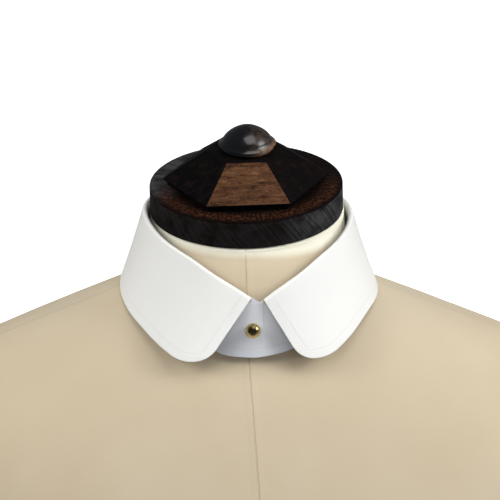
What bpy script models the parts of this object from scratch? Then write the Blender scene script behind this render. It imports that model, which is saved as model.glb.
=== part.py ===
"""Detachable turn-down shirt collar with rounded points, closed with a ball stud, on a limbless dress form.

Metres, +Z up. The form faces -Y and stands on z = 0. A turn is an angle round the neck in degrees, 0 at
the centre front and positive towards +X. Heights in the tables are measured from COLLAR_HEIGHT, which is a
little below the front of the fold.
"""

from collections import namedtuple
from math import atan2, cos, pi, radians, sin, sqrt, tan

import bmesh
import bpy
import numpy as np
from mathutils import Matrix, Vector

COLLAR_HEIGHT = 0.420
CLEARANCE = 0.0003

# Cloth
CLOTH = 0.0012
BAND_HALF_WIDTH = 0.0545
BAND_DEPTH = 0.0636
BAND_FLARE = 0.0034
FOLD_RADIUS = 0.0009
FOLD_RADIUS_FRONT = 0.0014
FOLD_OPENS = (10.0, 35.0)
SEAM_RISE = 0.0023
SEAM_RISE_FRONT = 0.0004
SEAM_SINKS = (5.0, 25.0)

# Front edges and lap
LEFT_CORNER_TURN = -4.1
RIGHT_CORNER_TURN = 4.6
POINT_RADIUS = 0.017
INNER_END_TURN = 14.0
OUTER_END_TURN = -22.0
END_RADIUS = 0.004
NOTCH = 1.35
NOTCH_SLANT = 0.15
LAP_OFFSET = 0.00075
LAP_EASES = (24.0, 62.0)

# Holes and stud
STUD_TURN = -2.2
STUD_HEIGHT = -0.0117
FRONT_HOLE = (0.0070, 0.0032)
BACK_HOLE = (0.0030, 0.0140)
BACK_HOLE_HEIGHT = 0.0237
HOLE_DEPTH = 0.008
BALL_RADIUS = 0.0041
POST_RADIUS = 0.0012
PLATE_RADIUS = 0.006
PLATE_THICKNESS = 0.001
PLATE_EDGE = 0.0003
PLATE_GAP = 0.0007

# Neck cap: it tilts forward and leans to -X. Its heights are along its own axis, from the top of the disc
CAP_TILT = 12.8
CAP_LEAN = 2.2
CAP_HEIGHT = 0.0543
CAP_SIDE = -0.0009
DISC_RADIUS = 0.052
DISC_THICKNESS = 0.0153
DISC_EDGE = 0.0010
PLINTH_RADIUS = 0.0424
PLINTH_HEIGHT = 0.0034
PYRAMID_TURN = -2.5
PYRAMID_RADIUS = 0.0446
PYRAMID_LIP = 0.0008
PYRAMID_TOP_RADIUS = 0.0211
PYRAMID_HEIGHT = 0.0196
BEAD_RADIUS = 0.0143
BEAD_HALF_HEIGHT = 0.0015
GROOVE_RADIUS = 0.0130
KNOB_SIDE = 0.0011
KNOB_RADIUS = 0.0155
KNOB_LIP = 0.0004
DOME_RADIUS = 0.0131
DOME_RISE = 0.0024
DOME_HEIGHT = 0.0082
DOME_FULLNESS = 1.5

# Height of the top of the fold, on each side of the front
FoldRow = namedtuple("FoldRow", "turn left_rise right_rise")
FOLD = (
    FoldRow(0, 0.0030, 0.0016),
    FoldRow(4, 0.0056, 0.0044),
    FoldRow(12, 0.0105, 0.0099),
    FoldRow(25, 0.0173, 0.0172),
    FoldRow(40, 0.0248, 0.0248),
    FoldRow(55, 0.0298, 0.0298),
    FoldRow(72, 0.0351, 0.0351),
    FoldRow(90, 0.0395, 0.0395),
    FoldRow(110, 0.0420, 0.0420),
    FoldRow(140, 0.0440, 0.0440),
    FoldRow(180, 0.0455, 0.0455),
)

# How the leaf falls from the fold: degrees that it leans out, degrees that it sweeps back, and its depth
FallRow = namedtuple("FallRow", "turn lean left_sweep right_sweep left_depth right_depth")
FALL = (
    FallRow(4, 16.0, 35.3, 30.7, 0.0500, 0.0466),
    FallRow(25, 18.0, 32.0, 32.0, 0.0475, 0.0433),
    FallRow(45, 17.5, 31.0, 31.0, 0.0450, 0.0413),
    FallRow(60, 17.6, 28.0, 28.0, 0.0425, 0.0415),
    FallRow(90, 16.4, 17.0, 17.0, 0.0394, 0.0399),
    FallRow(135, 13.0, 5.0, 5.0, 0.0425, 0.0425),
    FallRow(180, 12.0, 0.0, 0.0, 0.0440, 0.0440),
)

# Height of the lower edge of the band, on each side of the front
BandRow = namedtuple("BandRow", "turn left_edge right_edge")
BAND = (
    BandRow(0, -0.0264, -0.0264),
    BandRow(12, -0.0259, -0.0244),
    BandRow(22, -0.0238, -0.0216),
    BandRow(45, -0.0146, -0.0144),
    BandRow(60, -0.0055, -0.0055),
    BandRow(75, 0.0026, 0.0026),
    BandRow(90, 0.0070, 0.0070),
    BandRow(120, 0.0070, 0.0070),
    BandRow(180, 0.0058, 0.0058),
)

# Height of the top of the free ends of the band, by turn. Beside the leaf they rise from a notch
EndRow = namedtuple("EndRow", "turn inner_top outer_top")
ENDS = (
    EndRow(-22.0, 0.0060, 0.0014),
    EndRow(-9.0, 0.0060, 0.0018),
    EndRow(-4.0, 0.0056, 0.0022),
    EndRow(1.5, 0.0026, 0.0026),
    EndRow(5.3, 0.0014, 0.0050),
    EndRow(14.0, 0.0010, 0.0060),
)

# Top of the neck of the form: rings parallel to the cap, by radius and distance below the disc
NeckRow = namedtuple("NeckRow", "radius below")
NECK = (
    NeckRow(0.0508, 0.0003),
    NeckRow(0.0520, 0.0012),
    NeckRow(0.0523, 0.0030),
)

# Rings of the form: where each crosses its side, front and back, and their heights. bow is 1 where a ring
# lies in one plane and 2 or more where it falls away from the shoulders.
BodyRow = namedtuple("BodyRow", "side side_height front front_height back back_height bow")
BODY = (
    BodyRow(0.0528, 0.0260, 0.0556, 0.0145, 0.0575, 0.0340, 1.0),
    BodyRow(0.0538, 0.0150, 0.0606, -0.0080, 0.0612, 0.0190, 1.1),
    BodyRow(0.0552, 0.0095, 0.0639, -0.0255, 0.0655, 0.0065, 1.3),
    BodyRow(0.0590, 0.0048, 0.0680, -0.0335, 0.0690, 0.0023, 1.6),
    BodyRow(0.0750, -0.0030, 0.0735, -0.0425, 0.0780, -0.0035, 2.1),
    BodyRow(0.1050, -0.0149, 0.0820, -0.0580, 0.0900, -0.0140, 2.3),
    BodyRow(0.1400, -0.0288, 0.0910, -0.0780, 0.1010, -0.0320, 2.3),
    BodyRow(0.1720, -0.0420, 0.1000, -0.1010, 0.1090, -0.0570, 2.2),
    BodyRow(0.1960, -0.0543, 0.1070, -0.1240, 0.1140, -0.0860, 2.1),
    BodyRow(0.2080, -0.0680, 0.1120, -0.1460, 0.1175, -0.1140, 2.0),
    BodyRow(0.2100, -0.0890, 0.1160, -0.1680, 0.1195, -0.1420, 2.0),
    BodyRow(0.2040, -0.1180, 0.1190, -0.1920, 0.1200, -0.1700, 2.0),
    BodyRow(0.1930, -0.1550, 0.1200, -0.2180, 0.1190, -0.2020, 2.0),
    BodyRow(0.1800, -0.2000, 0.1190, -0.2460, 0.1150, -0.2380, 2.0),
    BodyRow(0.1690, -0.2500, 0.1150, -0.2780, 0.1080, -0.2740, 2.0),
    BodyRow(0.1600, -0.3050, 0.1100, -0.3180, 0.1010, -0.3160, 2.0),
    BodyRow(0.1560, -0.3600, 0.1060, -0.3640, 0.0970, -0.3630, 2.0),
    BodyRow(0.1550, -0.4150, 0.1040, -0.4150, 0.0960, -0.4150, 2.0),
    BodyRow(0.1530, -0.4200, 0.1020, -0.4200, 0.0940, -0.4200, 2.0),
)

# Fineness of the meshes
CLOTH_STEP = 0.0048
ROUNDING_STEPS = 8
ROLL_STEPS = 4
FALL_SHARES = (0.0, 0.5, 1.0)
BODY_SEGMENTS = 48
RINGS_PER_ROW = 2
TURNED_SEGMENTS = 56
DOME_STEPS = 7
STUD_SEGMENTS = 24
BALL_STEPS = 9

UP = np.array((0.0, 0.0, 1.0))


def clear_scene():
    for thing in list(bpy.data.objects):
        bpy.data.objects.remove(thing, do_unlink=True)


def make_material(name, colour, roughness, metallic=0.0):
    finish = bpy.data.materials.new(name)
    finish.use_nodes = True
    shader = finish.node_tree.nodes["Principled BSDF"]
    shader.inputs["Base Color"].default_value = (*colour, 1.0)
    shader.inputs["Roughness"].default_value = roughness
    shader.inputs["Metallic"].default_value = metallic
    finish.diffuse_color = (*colour, 1.0)
    return finish


def make_object(name, shape, finish, smooth_angle=35.0):
    """Turns a bmesh into a named object, smooth but for edges sharper than smooth_angle."""
    bmesh.ops.recalc_face_normals(shape, faces=shape.faces)
    mesh = bpy.data.meshes.new(name)
    shape.to_mesh(mesh)
    shape.free()
    mesh.shade_smooth()
    mesh.set_sharp_from_angle(angle=radians(smooth_angle))
    thing = bpy.data.objects.new(name, mesh)
    bpy.context.scene.collection.objects.link(thing)
    if finish:
        mesh.materials.append(finish)
    return thing


def smooth_curve(stations, values, at):
    """A smooth curve through the points of a table, which never overshoots them."""
    stations = np.asarray(stations, float)
    values = np.asarray(values, float)
    steps = np.diff(stations)
    slopes = np.diff(values) / steps
    tangents = np.zeros(len(values))
    tangents[0] = slopes[0]
    tangents[-1] = slopes[-1]
    for i in range(1, len(slopes)):
        if slopes[i - 1] * slopes[i] > 0.0:
            before = 2.0 * steps[i] + steps[i - 1]
            after = steps[i] + 2.0 * steps[i - 1]
            tangents[i] = (before + after) / (before / slopes[i - 1] + after / slopes[i])
    at = np.clip(at, stations[0], stations[-1])
    i = np.clip(np.searchsorted(stations, at, side="right") - 1, 0, len(steps) - 1)
    t = (at - stations[i]) / steps[i]
    near = (2.0 * t**3 - 3.0 * t**2 + 1.0) * values[i] + (t**3 - 2.0 * t**2 + t) * steps[i] * tangents[i]
    far = (3.0 * t**2 - 2.0 * t**3) * values[i + 1] + (t**3 - t**2) * steps[i] * tangents[i + 1]
    return near + far


def read(table, name, turn):
    """A named column of a table kept by turn, where both sides of the front read the same rows."""
    return smooth_curve([row.turn for row in table], [getattr(row, name) for row in table], np.abs(turn))


def read_sides(table, left_name, right_name, turn):
    return np.where(turn < 0.0, read(table, left_name, turn), read(table, right_name, turn))


def ease(value, low, high):
    """0 up to low, 1 from high on, and a smooth step between them."""
    t = np.clip((value - low) / (high - low), 0.0, 1.0)
    return t * t * (3.0 - 2.0 * t)


def turn_of(run):
    """The turn, from -180 to 180, of a run that goes on round the neck."""
    return (run + 180.0) % 360.0 - 180.0


def neck_oval(run, half_width, depth):
    """Points round the neck at z = 0, with the outward direction and the direction to the front."""
    angle = np.radians(turn_of(run))
    flat = np.zeros_like(angle)
    points = np.stack((half_width * np.sin(angle), -depth * np.cos(angle), flat), -1)
    outward = np.stack((depth * np.sin(angle), -half_width * np.cos(angle), flat), -1)
    outward /= np.linalg.norm(outward, axis=-1, keepdims=True)
    side = np.sign(angle)[:, None]
    forward = side * np.cross(outward, UP)
    return points, outward, forward


def fold_radius(turn):
    closed = ease(np.abs(turn), *FOLD_OPENS)
    return FOLD_RADIUS_FRONT + (FOLD_RADIUS - FOLD_RADIUS_FRONT) * closed


def fold_centre(turn):
    """Height of the middle of the roll that the leaf makes over the band."""
    return COLLAR_HEIGHT + read_sides(FOLD, "left_rise", "right_rise", turn) - fold_radius(turn) - CLOTH / 2


def seam_height(turn):
    """Height of the leaf's seam, where it meets the band."""
    risen = ease(np.abs(turn), *SEAM_SINKS)
    return fold_centre(turn) - SEAM_RISE_FRONT - (SEAM_RISE - SEAM_RISE_FRONT) * risen


def lap(run):
    """How far the collar lies out of its middle line: in at the inner end, out at the outer end."""
    near_inner_end = 1.0 - ease(-run, *LAP_EASES)
    near_outer_end = 1.0 - ease(run + 360.0, *LAP_EASES)
    return LAP_OFFSET * (near_outer_end - near_inner_end)


def strip(start_turn, end_turn, corner_radius, passed=()):
    """Runs along a strip round the neck, closer at its ends, and what a rounded corner takes off there.

    The runs in passed are among them.
    """
    fine = np.linspace(start_turn, end_turn, 2000)
    line, _, _ = neck_oval(fine, BAND_HALF_WIDTH, BAND_DEPTH)
    line[:, 2] = fold_centre(turn_of(fine))
    length = np.concatenate(((0.0,), np.cumsum(np.linalg.norm(np.diff(line, axis=0), axis=1))))
    corner = corner_radius * (1.0 - np.cos(np.linspace(0.0, pi / 2, ROUNDING_STEPS)))
    middle = np.linspace(corner_radius, length[-1] - corner_radius, int(length[-1] / CLOTH_STEP))
    stations = np.concatenate((corner, middle[1:-1], length[-1] - corner[::-1]))
    exact = np.interp(-np.array(passed), -fine, length)
    for station in exact:
        stations = stations[np.abs(stations - station) > CLOTH_STEP / 4]
    stations = np.sort(np.append(stations, exact))
    to_end = np.minimum(stations, length[-1] - stations)
    inside = np.clip(corner_radius - to_end, 0.0, corner_radius)
    taken = corner_radius - np.sqrt(corner_radius**2 - inside**2)
    return np.interp(stations, length, fine), taken


def cloth_object(name, columns, finish):
    """A wall of cloth round the sheet that joins neighbouring columns of points."""
    shape = bmesh.new()
    grid = [[shape.verts.new(Vector(point)) for point in points] for points in columns]
    for here, there in zip(grid, grid[1:]):
        for a, b, c, d in zip(here, here[1:], there[1:], there):
            shape.faces.new((a, b, c, d))
    wall = make_object(name, shape, finish)
    thickness = wall.modifiers.new("Cloth", "SOLIDIFY")
    thickness.thickness = CLOTH
    thickness.offset = 0.0
    thickness.use_even_offset = True
    return wall


def build_leaf(finish):
    """The leaf: up from the seam, over the fold and down outside the band, to a round point on each side."""
    run, taken = strip(LEFT_CORNER_TURN, RIGHT_CORNER_TURN - 360.0, POINT_RADIUS)
    turn = turn_of(run)
    radius = fold_radius(turn)[:, None]
    inner, outward, forward = neck_oval(run, BAND_HALF_WIDTH, BAND_DEPTH)
    inner = inner + outward * lap(run)[:, None]
    seam = inner + UP * seam_height(turn)[:, None]
    roll = inner + UP * fold_centre(turn)[:, None] + outward * radius
    lean = np.radians(read(FALL, "lean", turn))[:, None]
    sweep = np.radians(read_sides(FALL, "left_sweep", "right_sweep", turn))[:, None]
    depth = read_sides(FALL, "left_depth", "right_depth", turn) - taken - fold_radius(turn) - CLOTH / 2
    down = -np.cos(sweep) * UP - np.sin(sweep) * forward
    fall = np.cos(lean) * down + np.sin(lean) * outward
    rows = [seam]
    for share in np.linspace(0.0, 1.0, ROLL_STEPS + 1):
        angle = share * (pi - lean)
        rows.append(roll - radius * (np.cos(angle) * outward + np.sin(angle) * down))
    top_of_fall = rows.pop()
    rows += [top_of_fall + fall * depth[:, None] * share for share in FALL_SHARES]
    return cloth_object("collar_leaf", np.stack(rows, 1), finish)


def band_edges(run, taken):
    """Heights of the top and lower edges of the band, with what its rounded ends lose."""
    turn = turn_of(run)
    past = np.maximum(run - LEFT_CORNER_TURN, RIGHT_CORNER_TURN - 360.0 - run)
    stations = [row.turn for row in ENDS]
    inner_top = smooth_curve(stations, [row.inner_top for row in ENDS], turn)
    outer_top = smooth_curve(stations, [row.outer_top for row in ENDS], turn)
    end_top = np.where(run > -180.0, inner_top, outer_top)
    free = past > NOTCH - NOTCH_SLANT / 2
    top = np.where(free, COLLAR_HEIGHT + end_top, seam_height(turn) - CLEARANCE) - taken
    bottom = COLLAR_HEIGHT + read_sides(BAND, "left_edge", "right_edge", turn) + taken
    return top, bottom


def build_band(finish, holes):
    """The band: one strip round the neck with its ends lapped at the front."""
    past = np.array((0.0, NOTCH - NOTCH_SLANT, NOTCH))
    notches = np.concatenate((LEFT_CORNER_TURN + past, RIGHT_CORNER_TURN - 360.0 - past))
    run, taken = strip(INNER_END_TURN, OUTER_END_TURN - 360.0, END_RADIUS, notches)
    top_height, bottom_height = band_edges(run, taken)
    inner, outward, _ = neck_oval(run, BAND_HALF_WIDTH, BAND_DEPTH)
    inner = inner + outward * lap(run)[:, None]
    top = inner + UP * top_height[:, None]
    bottom = inner + outward * BAND_FLARE + UP * bottom_height[:, None]
    band = cloth_object("collar_band", np.stack((top, (top + bottom) / 2, bottom), 1), finish)
    for hole in holes:
        cut = band.modifiers.new(hole.name, "BOOLEAN")
        cut.operation = "DIFFERENCE"
        cut.object = hole
    return band


def band_place(turn, height, offset):
    """A frame on the band: Z out of the cloth, X along it, at an offset from its middle line."""
    run = np.array((float(turn),))
    top, bottom = band_edges(run, 0.0)
    share = (top[0] - COLLAR_HEIGHT - height) / (top[0] - bottom[0])
    inner, outward, _ = neck_oval(run, BAND_HALF_WIDTH, BAND_DEPTH)
    slope = atan2(BAND_FLARE, top[0] - bottom[0])
    out = Vector(outward[0])
    axis = out * cos(slope) + Vector(UP) * sin(slope)
    along = Vector(UP).cross(axis).normalized()
    place = Vector(inner[0]) + out * (BAND_FLARE * share) + axis * offset
    place.z = COLLAR_HEIGHT + height + axis.z * offset
    frame = Matrix((along, axis.cross(along), axis)).transposed().to_4x4()
    return Matrix.Translation(place) @ frame


def build_hole(name, place, width, height):
    """A cutter for a hole with round ends, which is longer one way than the other."""
    shape = bmesh.new()
    radius = min(width, height) / 2
    ring = bmesh.ops.create_circle(shape, cap_ends=True, radius=radius, segments=16)["verts"]
    for vert in ring:
        vert.co.x += (width / 2 - radius) * (1.0 if vert.co.x > 0.0 else -1.0) * (width > height)
        vert.co.y += (height / 2 - radius) * (1.0 if vert.co.y > 0.0 else -1.0) * (height > width)
        vert.co.z = -HOLE_DEPTH / 2
    sides = bmesh.ops.extrude_face_region(shape, geom=shape.faces[:])["geom"]
    lifted = [item for item in sides if isinstance(item, bmesh.types.BMVert)]
    bmesh.ops.translate(shape, verts=lifted, vec=(0.0, 0.0, HOLE_DEPTH))
    cutter = make_object(name, shape, None)
    cutter.matrix_world = place
    cutter.hide_render = True
    cutter.display_type = "WIRE"
    return cutter


def turned(name, profile, finish, segments, smooth_angle=35.0):
    """A solid turned round Z from pairs of radius and height, which start and end on the axis."""
    shape = bmesh.new()
    verts = [shape.verts.new((radius, 0.0, height)) for radius, height in profile]
    edges = [shape.edges.new(pair) for pair in zip(verts, verts[1:])]
    axis = {"axis": (0, 0, 1), "cent": (0, 0, 0), "angle": 2 * pi}
    bmesh.ops.spin(shape, geom=verts + edges, **axis, steps=segments, use_merge=True)
    bmesh.ops.remove_doubles(shape, verts=shape.verts, dist=1e-6)
    return make_object(name, shape, finish, smooth_angle)


def build_stud(finish):
    """Ball head, post and back plate, with z = 0 on the face of the outer end of the band."""
    through = CLOTH + 2 * LAP_OFFSET
    plate_top = -through - PLATE_GAP
    plate_bottom = plate_top - PLATE_THICKNESS
    ball = CLEARANCE + BALL_RADIUS
    start = pi - atan2(POST_RADIUS, sqrt(BALL_RADIUS**2 - POST_RADIUS**2))
    profile = [
        (0.0, plate_bottom),
        (PLATE_RADIUS - PLATE_EDGE, plate_bottom),
        (PLATE_RADIUS, plate_bottom + PLATE_EDGE),
        (PLATE_RADIUS, plate_top - PLATE_EDGE),
        (PLATE_RADIUS - PLATE_EDGE, plate_top),
        (POST_RADIUS, plate_top),
    ]
    for angle in np.linspace(start, 0.0, BALL_STEPS):
        profile.append((BALL_RADIUS * sin(angle), ball + BALL_RADIUS * cos(angle)))
    profile[-1] = (0.0, ball + BALL_RADIUS)
    stud = turned("collar_stud", profile, finish, STUD_SEGMENTS)
    stud.matrix_world = band_place(STUD_TURN, STUD_HEIGHT, LAP_OFFSET + CLOTH / 2)
    return stud


def cap_frame():
    """The frame of the neck cap, with its origin on top of the disc."""
    lean = Matrix.Rotation(radians(-CAP_LEAN), 4, "Y") @ Matrix.Rotation(radians(CAP_TILT), 4, "X")
    return Matrix.Translation((CAP_SIDE, 0.0, COLLAR_HEIGHT + CAP_HEIGHT)) @ lean


def build_cap(wood):
    """Neck cap: a turned disc, a six-sided pyramid on a plinth, and a knob with a brim on a bead."""
    frame = bpy.data.objects.new("neck_cap_frame", None)
    bpy.context.scene.collection.objects.link(frame)
    frame.matrix_world = cap_frame()
    disc = (
        (0.0, -DISC_THICKNESS),
        (DISC_RADIUS - DISC_EDGE, -DISC_THICKNESS),
        (DISC_RADIUS, DISC_EDGE - DISC_THICKNESS),
        (DISC_RADIUS, -DISC_EDGE),
        (DISC_RADIUS - DISC_EDGE, 0.0),
        (0.0, 0.0),
    )
    pyramid = (
        (0.0, CLEARANCE),
        (PLINTH_RADIUS, CLEARANCE),
        (PLINTH_RADIUS, PLINTH_HEIGHT),
        (PYRAMID_RADIUS, PLINTH_HEIGHT),
        (PYRAMID_RADIUS, PLINTH_HEIGHT + PYRAMID_LIP),
        (PYRAMID_TOP_RADIUS, PYRAMID_HEIGHT),
        (0.0, PYRAMID_HEIGHT),
    )
    foot = PYRAMID_HEIGHT + CLEARANCE
    knob = [(0.0, foot), (BEAD_RADIUS - BEAD_HALF_HEIGHT, foot)]
    for angle in np.linspace(-pi / 3, pi / 3, 5):
        reach = BEAD_RADIUS - BEAD_HALF_HEIGHT * (1.0 - cos(angle))
        knob.append((reach, foot + BEAD_HALF_HEIGHT * (1.0 + sin(angle))))
    groove = foot + 2 * BEAD_HALF_HEIGHT
    knob += [(GROOVE_RADIUS, groove), (KNOB_RADIUS - KNOB_LIP, groove), (KNOB_RADIUS, groove + KNOB_LIP)]
    for angle in np.linspace(0.0, pi / 2, DOME_STEPS):
        reach = DOME_RADIUS * max(cos(angle), 0.0) ** (2 / DOME_FULLNESS)
        knob.append((reach, groove + DOME_RISE + DOME_HEIGHT * sin(angle) ** (2 / DOME_FULLNESS)))
    knob[-1] = (0.0, groove + DOME_RISE + DOME_HEIGHT)
    pieces = (
        turned("neck_cap_disc", disc, wood, TURNED_SEGMENTS),
        turned("neck_cap_pyramid", pyramid, wood, 6, smooth_angle=20.0),
        turned("neck_cap_knob", knob, wood, TURNED_SEGMENTS),
    )
    for piece in pieces:
        piece.parent = frame
    pieces[1].rotation_euler.z = radians(PYRAMID_TURN)
    pieces[2].location.x = KNOB_SIDE


def neck_rows():
    """The rings under the cap, as rows of the form."""
    frame = cap_frame()
    rows = []
    for row in NECK:
        centre = frame @ Vector((0.0, 0.0, -DISC_THICKNESS - row.below))
        reach = frame.to_3x3() @ Vector((0.0, -row.radius, 0.0))
        level = centre.z - COLLAR_HEIGHT
        front = -(centre.y + reach.y)
        back = centre.y - reach.y
        rows.append(BodyRow(row.radius, level, front, level + reach.z, back, level - reach.z, 1.0))
    return rows


def build_form(cover):
    """The limbless form: one closed skin through rings from the neck over the shoulders to a flat base."""
    rows = neck_rows() + list(BODY)
    stations = np.arange(len(rows))
    rings = np.linspace(0, len(rows) - 1, (len(rows) - 1) * RINGS_PER_ROW + 1)
    sizes = [smooth_curve(stations, column, rings) for column in zip(*rows)]
    skews = tan(radians(CAP_LEAN)) * (1.0 - ease(rings, len(NECK) - 1, len(NECK) + 1))
    angle = np.arange(BODY_SEGMENTS) * 2 * pi / BODY_SEGMENTS
    facing = np.cos(angle)
    shape = bmesh.new()
    loops = []
    for side, side_height, front, front_height, back, back_height, bow, skew in zip(*sizes, skews):
        middle = (back - front) / 2
        half = (back + front) / 2
        drop = np.where(facing > 0.0, front_height - side_height, back_height - side_height)
        across = side * np.sin(angle)
        height = COLLAR_HEIGHT + side_height + drop * np.abs(facing) ** bow + skew * across
        points = np.stack((across, middle - half * facing, height), -1)
        loops.append([shape.verts.new(Vector(point)) for point in points])
    for upper, lower in zip(loops, loops[1:]):
        for i in range(BODY_SEGMENTS):
            j = (i + 1) % BODY_SEGMENTS
            shape.faces.new((upper[i], upper[j], lower[j], lower[i]))
    shape.faces.new(loops[0])
    shape.faces.new(loops[-1])
    return make_object("dress_form", shape, cover, smooth_angle=50.0)


def main():
    clear_scene()
    white_cotton = make_material("White starched cotton", (0.86, 0.86, 0.85), 0.75)
    gilt = make_material("Gilt brass", (0.80, 0.58, 0.22), 0.18, 1.0)
    dark_wood = make_material("Dark oiled wood", (0.045, 0.022, 0.014), 0.35)
    cream_cover = make_material("Cream cotton cover", (0.62, 0.52, 0.38), 0.85)
    holes = (
        build_hole("front_hole_cutter", band_place(STUD_TURN, STUD_HEIGHT, 0.0), *FRONT_HOLE),
        build_hole("back_hole_cutter", band_place(-180.0, BACK_HOLE_HEIGHT, 0.0), *BACK_HOLE),
    )
    build_form(cream_cover)
    build_cap(dark_wood)
    build_band(white_cotton, holes)
    build_leaf(white_cotton)
    build_stud(gilt)


main()
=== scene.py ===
"""The looks of a detachable shirt collar, closed with a ball stud, on a limbless dress form.

Laid out as an add-on: the sizes and colours are properties, and each piece has its own operator.
"""

from math import atan2, cos, pi, radians, sin, sqrt

import bmesh
import bpy
import numpy as np
from bpy.props import FloatProperty, FloatVectorProperty, PointerProperty
from mathutils import Matrix, Vector


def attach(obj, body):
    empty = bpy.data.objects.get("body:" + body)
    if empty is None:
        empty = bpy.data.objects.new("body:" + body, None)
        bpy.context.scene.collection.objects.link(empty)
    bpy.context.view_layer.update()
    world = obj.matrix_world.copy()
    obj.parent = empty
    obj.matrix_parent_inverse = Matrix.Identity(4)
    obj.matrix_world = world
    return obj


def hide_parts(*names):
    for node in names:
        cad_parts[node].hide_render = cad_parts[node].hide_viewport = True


bl_info = {
    "name": "Detachable collar on a dress form",
    "version": (1, 0, 0),
    "blender": (4, 5, 0),
    "location": "View3D > Sidebar > Collar",
    "description": "Builds a starched collar with its stud, on a dress form with a wooden neck cap",
    "category": "Add Mesh",
}

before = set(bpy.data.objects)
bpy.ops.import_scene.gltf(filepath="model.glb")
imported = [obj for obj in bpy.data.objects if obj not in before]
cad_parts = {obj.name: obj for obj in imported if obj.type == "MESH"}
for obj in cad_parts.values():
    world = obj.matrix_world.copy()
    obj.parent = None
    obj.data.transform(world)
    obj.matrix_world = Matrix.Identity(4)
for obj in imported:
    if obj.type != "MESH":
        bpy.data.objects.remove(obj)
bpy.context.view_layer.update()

# The collar's own sizes, in metres and degrees, as its solids have them
COLLAR_HEIGHT = 0.420
CLEARANCE = 0.0003
CLOTH = 0.0012
BAND_HALF_WIDTH = 0.0545
BAND_DEPTH = 0.0636
BAND_FLARE = 0.0034
FOLD_RADIUS = 0.0009
FOLD_RADIUS_FRONT = 0.0014
FOLD_OPENS = (10.0, 35.0)
SEAM_RISE = 0.0023
SEAM_RISE_FRONT = 0.0004
SEAM_SINKS = (5.0, 25.0)
LEFT_CORNER_TURN = -4.1
RIGHT_CORNER_TURN = 4.6
POINT_RADIUS = 0.017
INNER_END_TURN = 14.0
OUTER_END_TURN = -22.0
END_RADIUS = 0.004
NOTCH = 1.35
NOTCH_SLANT = 0.15
LAP_OFFSET = 0.00075
LAP_EASES = (24.0, 62.0)
STUD_TURN = -2.2
STUD_HEIGHT = -0.0117
FRONT_HOLE = (0.0070, 0.0032)
BACK_HOLE = (0.0030, 0.0140)
BACK_HOLE_HEIGHT = 0.0237
HOLE_DEPTH = 0.008
BALL_RADIUS = 0.0041
POST_RADIUS = 0.0012
PLATE_RADIUS = 0.006
PLATE_THICKNESS = 0.001
PLATE_GAP = 0.0007

# The neck cap's own sizes: heights are along its axis, from the top of the disc
CAP_TILT = 12.8
CAP_LEAN = 2.2
CAP_HEIGHT = 0.0543
CAP_SIDE = -0.0009
DISC_RADIUS = 0.052
DISC_THICKNESS = 0.0153
PLINTH_RADIUS = 0.0424
PLINTH_HEIGHT = 0.0034
PYRAMID_TURN = -2.5
PYRAMID_RADIUS = 0.0446
PYRAMID_LIP = 0.0008
PYRAMID_TOP_RADIUS = 0.0211
PYRAMID_HEIGHT = 0.0196
BEAD_RADIUS = 0.0143
BEAD_HALF_HEIGHT = 0.0015
GROOVE_RADIUS = 0.0130
KNOB_SIDE = 0.0011
KNOB_RADIUS = 0.0155
KNOB_LIP = 0.0004
DOME_RADIUS = 0.0131
DOME_RISE = 0.0024
DOME_HEIGHT = 0.0082
DOME_FULLNESS = 1.5

# Stitches, holes and seams
STITCH_INSET = 0.0045
STITCH_LENGTH = 0.0017
STITCH_WIDTH = 0.00042
STITCH_HEIGHT = 0.00016
HOLE_STITCH = 0.0014
HOLE_PITCH = 0.00045
HOLE_STITCH_HEIGHT = 0.00022
SEAM_LEAN = -0.0042
SHARP_ANGLE = radians(25.0)
SMOOTH_ANGLE = 35.0
HEM_ANGLE = radians(60.0)
SIDE_FACES = 0.45
THREAD_PITCH = 0.00045
COVER_PITCH = 0.0007

# Rows of points: round a corner and an end, round the roll, down the fall and down the band
CORNER_STEPS = 26
END_STEPS = 10
ROLL_ROWS = 12
FALL_ROWS = 30
BAND_ROWS = 20

# Sides and eased edges of the turned pieces
STUD_STEPS = 64
DISC_STEPS = 160
PYRAMID_SIDES = 6
KNOB_STEPS = 128
ARC_STEPS = 24
DISC_EDGE = 0.0008
SMALL_EDGE = 0.0002

# Colours of wear and of painted light, how much of each level age leaves of the cover, and the painted
# highlight on its rolled edge under the cap
AGED_COVER = (0.86, 0.82, 0.76)
PAINTED_EDGE_HIGHLIGHT = (0.88, 0.86, 0.72)
WORN_RED = (0.060, 0.021, 0.010)
# Brown of rubbed wood, also painted as light on the knob and on the lit side of the pyramid
WORN_AND_LIT_BROWN = (0.185, 0.100, 0.054)
DARKENED = (0.012, 0.0075, 0.006)
# Grey of dust, with a painted sheen on the wood
DUST_AND_SHEEN = (0.055, 0.055, 0.058)
EBONY = (0.0030, 0.0031, 0.0038)

# Painted light on each side of the pyramid: turn, share of the lit copy of the wood; sides with less of it
# get painted shade
SIDE_PAINTED_LIGHT = ((0.0, 1.0), (60.0, 0.035), (-60.0, 0.0))

# Lights: name, place, size, power, tint
LIGHTS = (
    ("top_light", (0.25, -0.75, 2.0), 1.1, 11.0, (1.0, 0.99, 0.97)),
    ("left_light", (-1.4, -0.6, 1.3), 0.8, 17.3, (1.0, 0.99, 0.96)),
    ("right_light", (1.4, -0.6, 1.3), 0.8, 21.6, (1.0, 1.0, 0.99)),
    ("front_light", (0.3, -2.4, 1.0), 0.9, 6.4, (0.93, 0.96, 1.0)),
    ("back_light", (-0.6, 2.6, 1.7), 1.6, 16.0, (1.0, 1.0, 1.0)),
)
SEEN_IN_GLOSS = ("top_light", "right_light")
WHITE = (1.0, 1.0, 1.0)
WORLD_TINT = (0.90, 0.94, 1.0)
WORLD_STRENGTH = 0.16
FLOOR_GLOW = 0.9
FLOOR_SIZE = 15.0
FLOOR_BOUNCE = (0.30, 0.31, 0.33)

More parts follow.
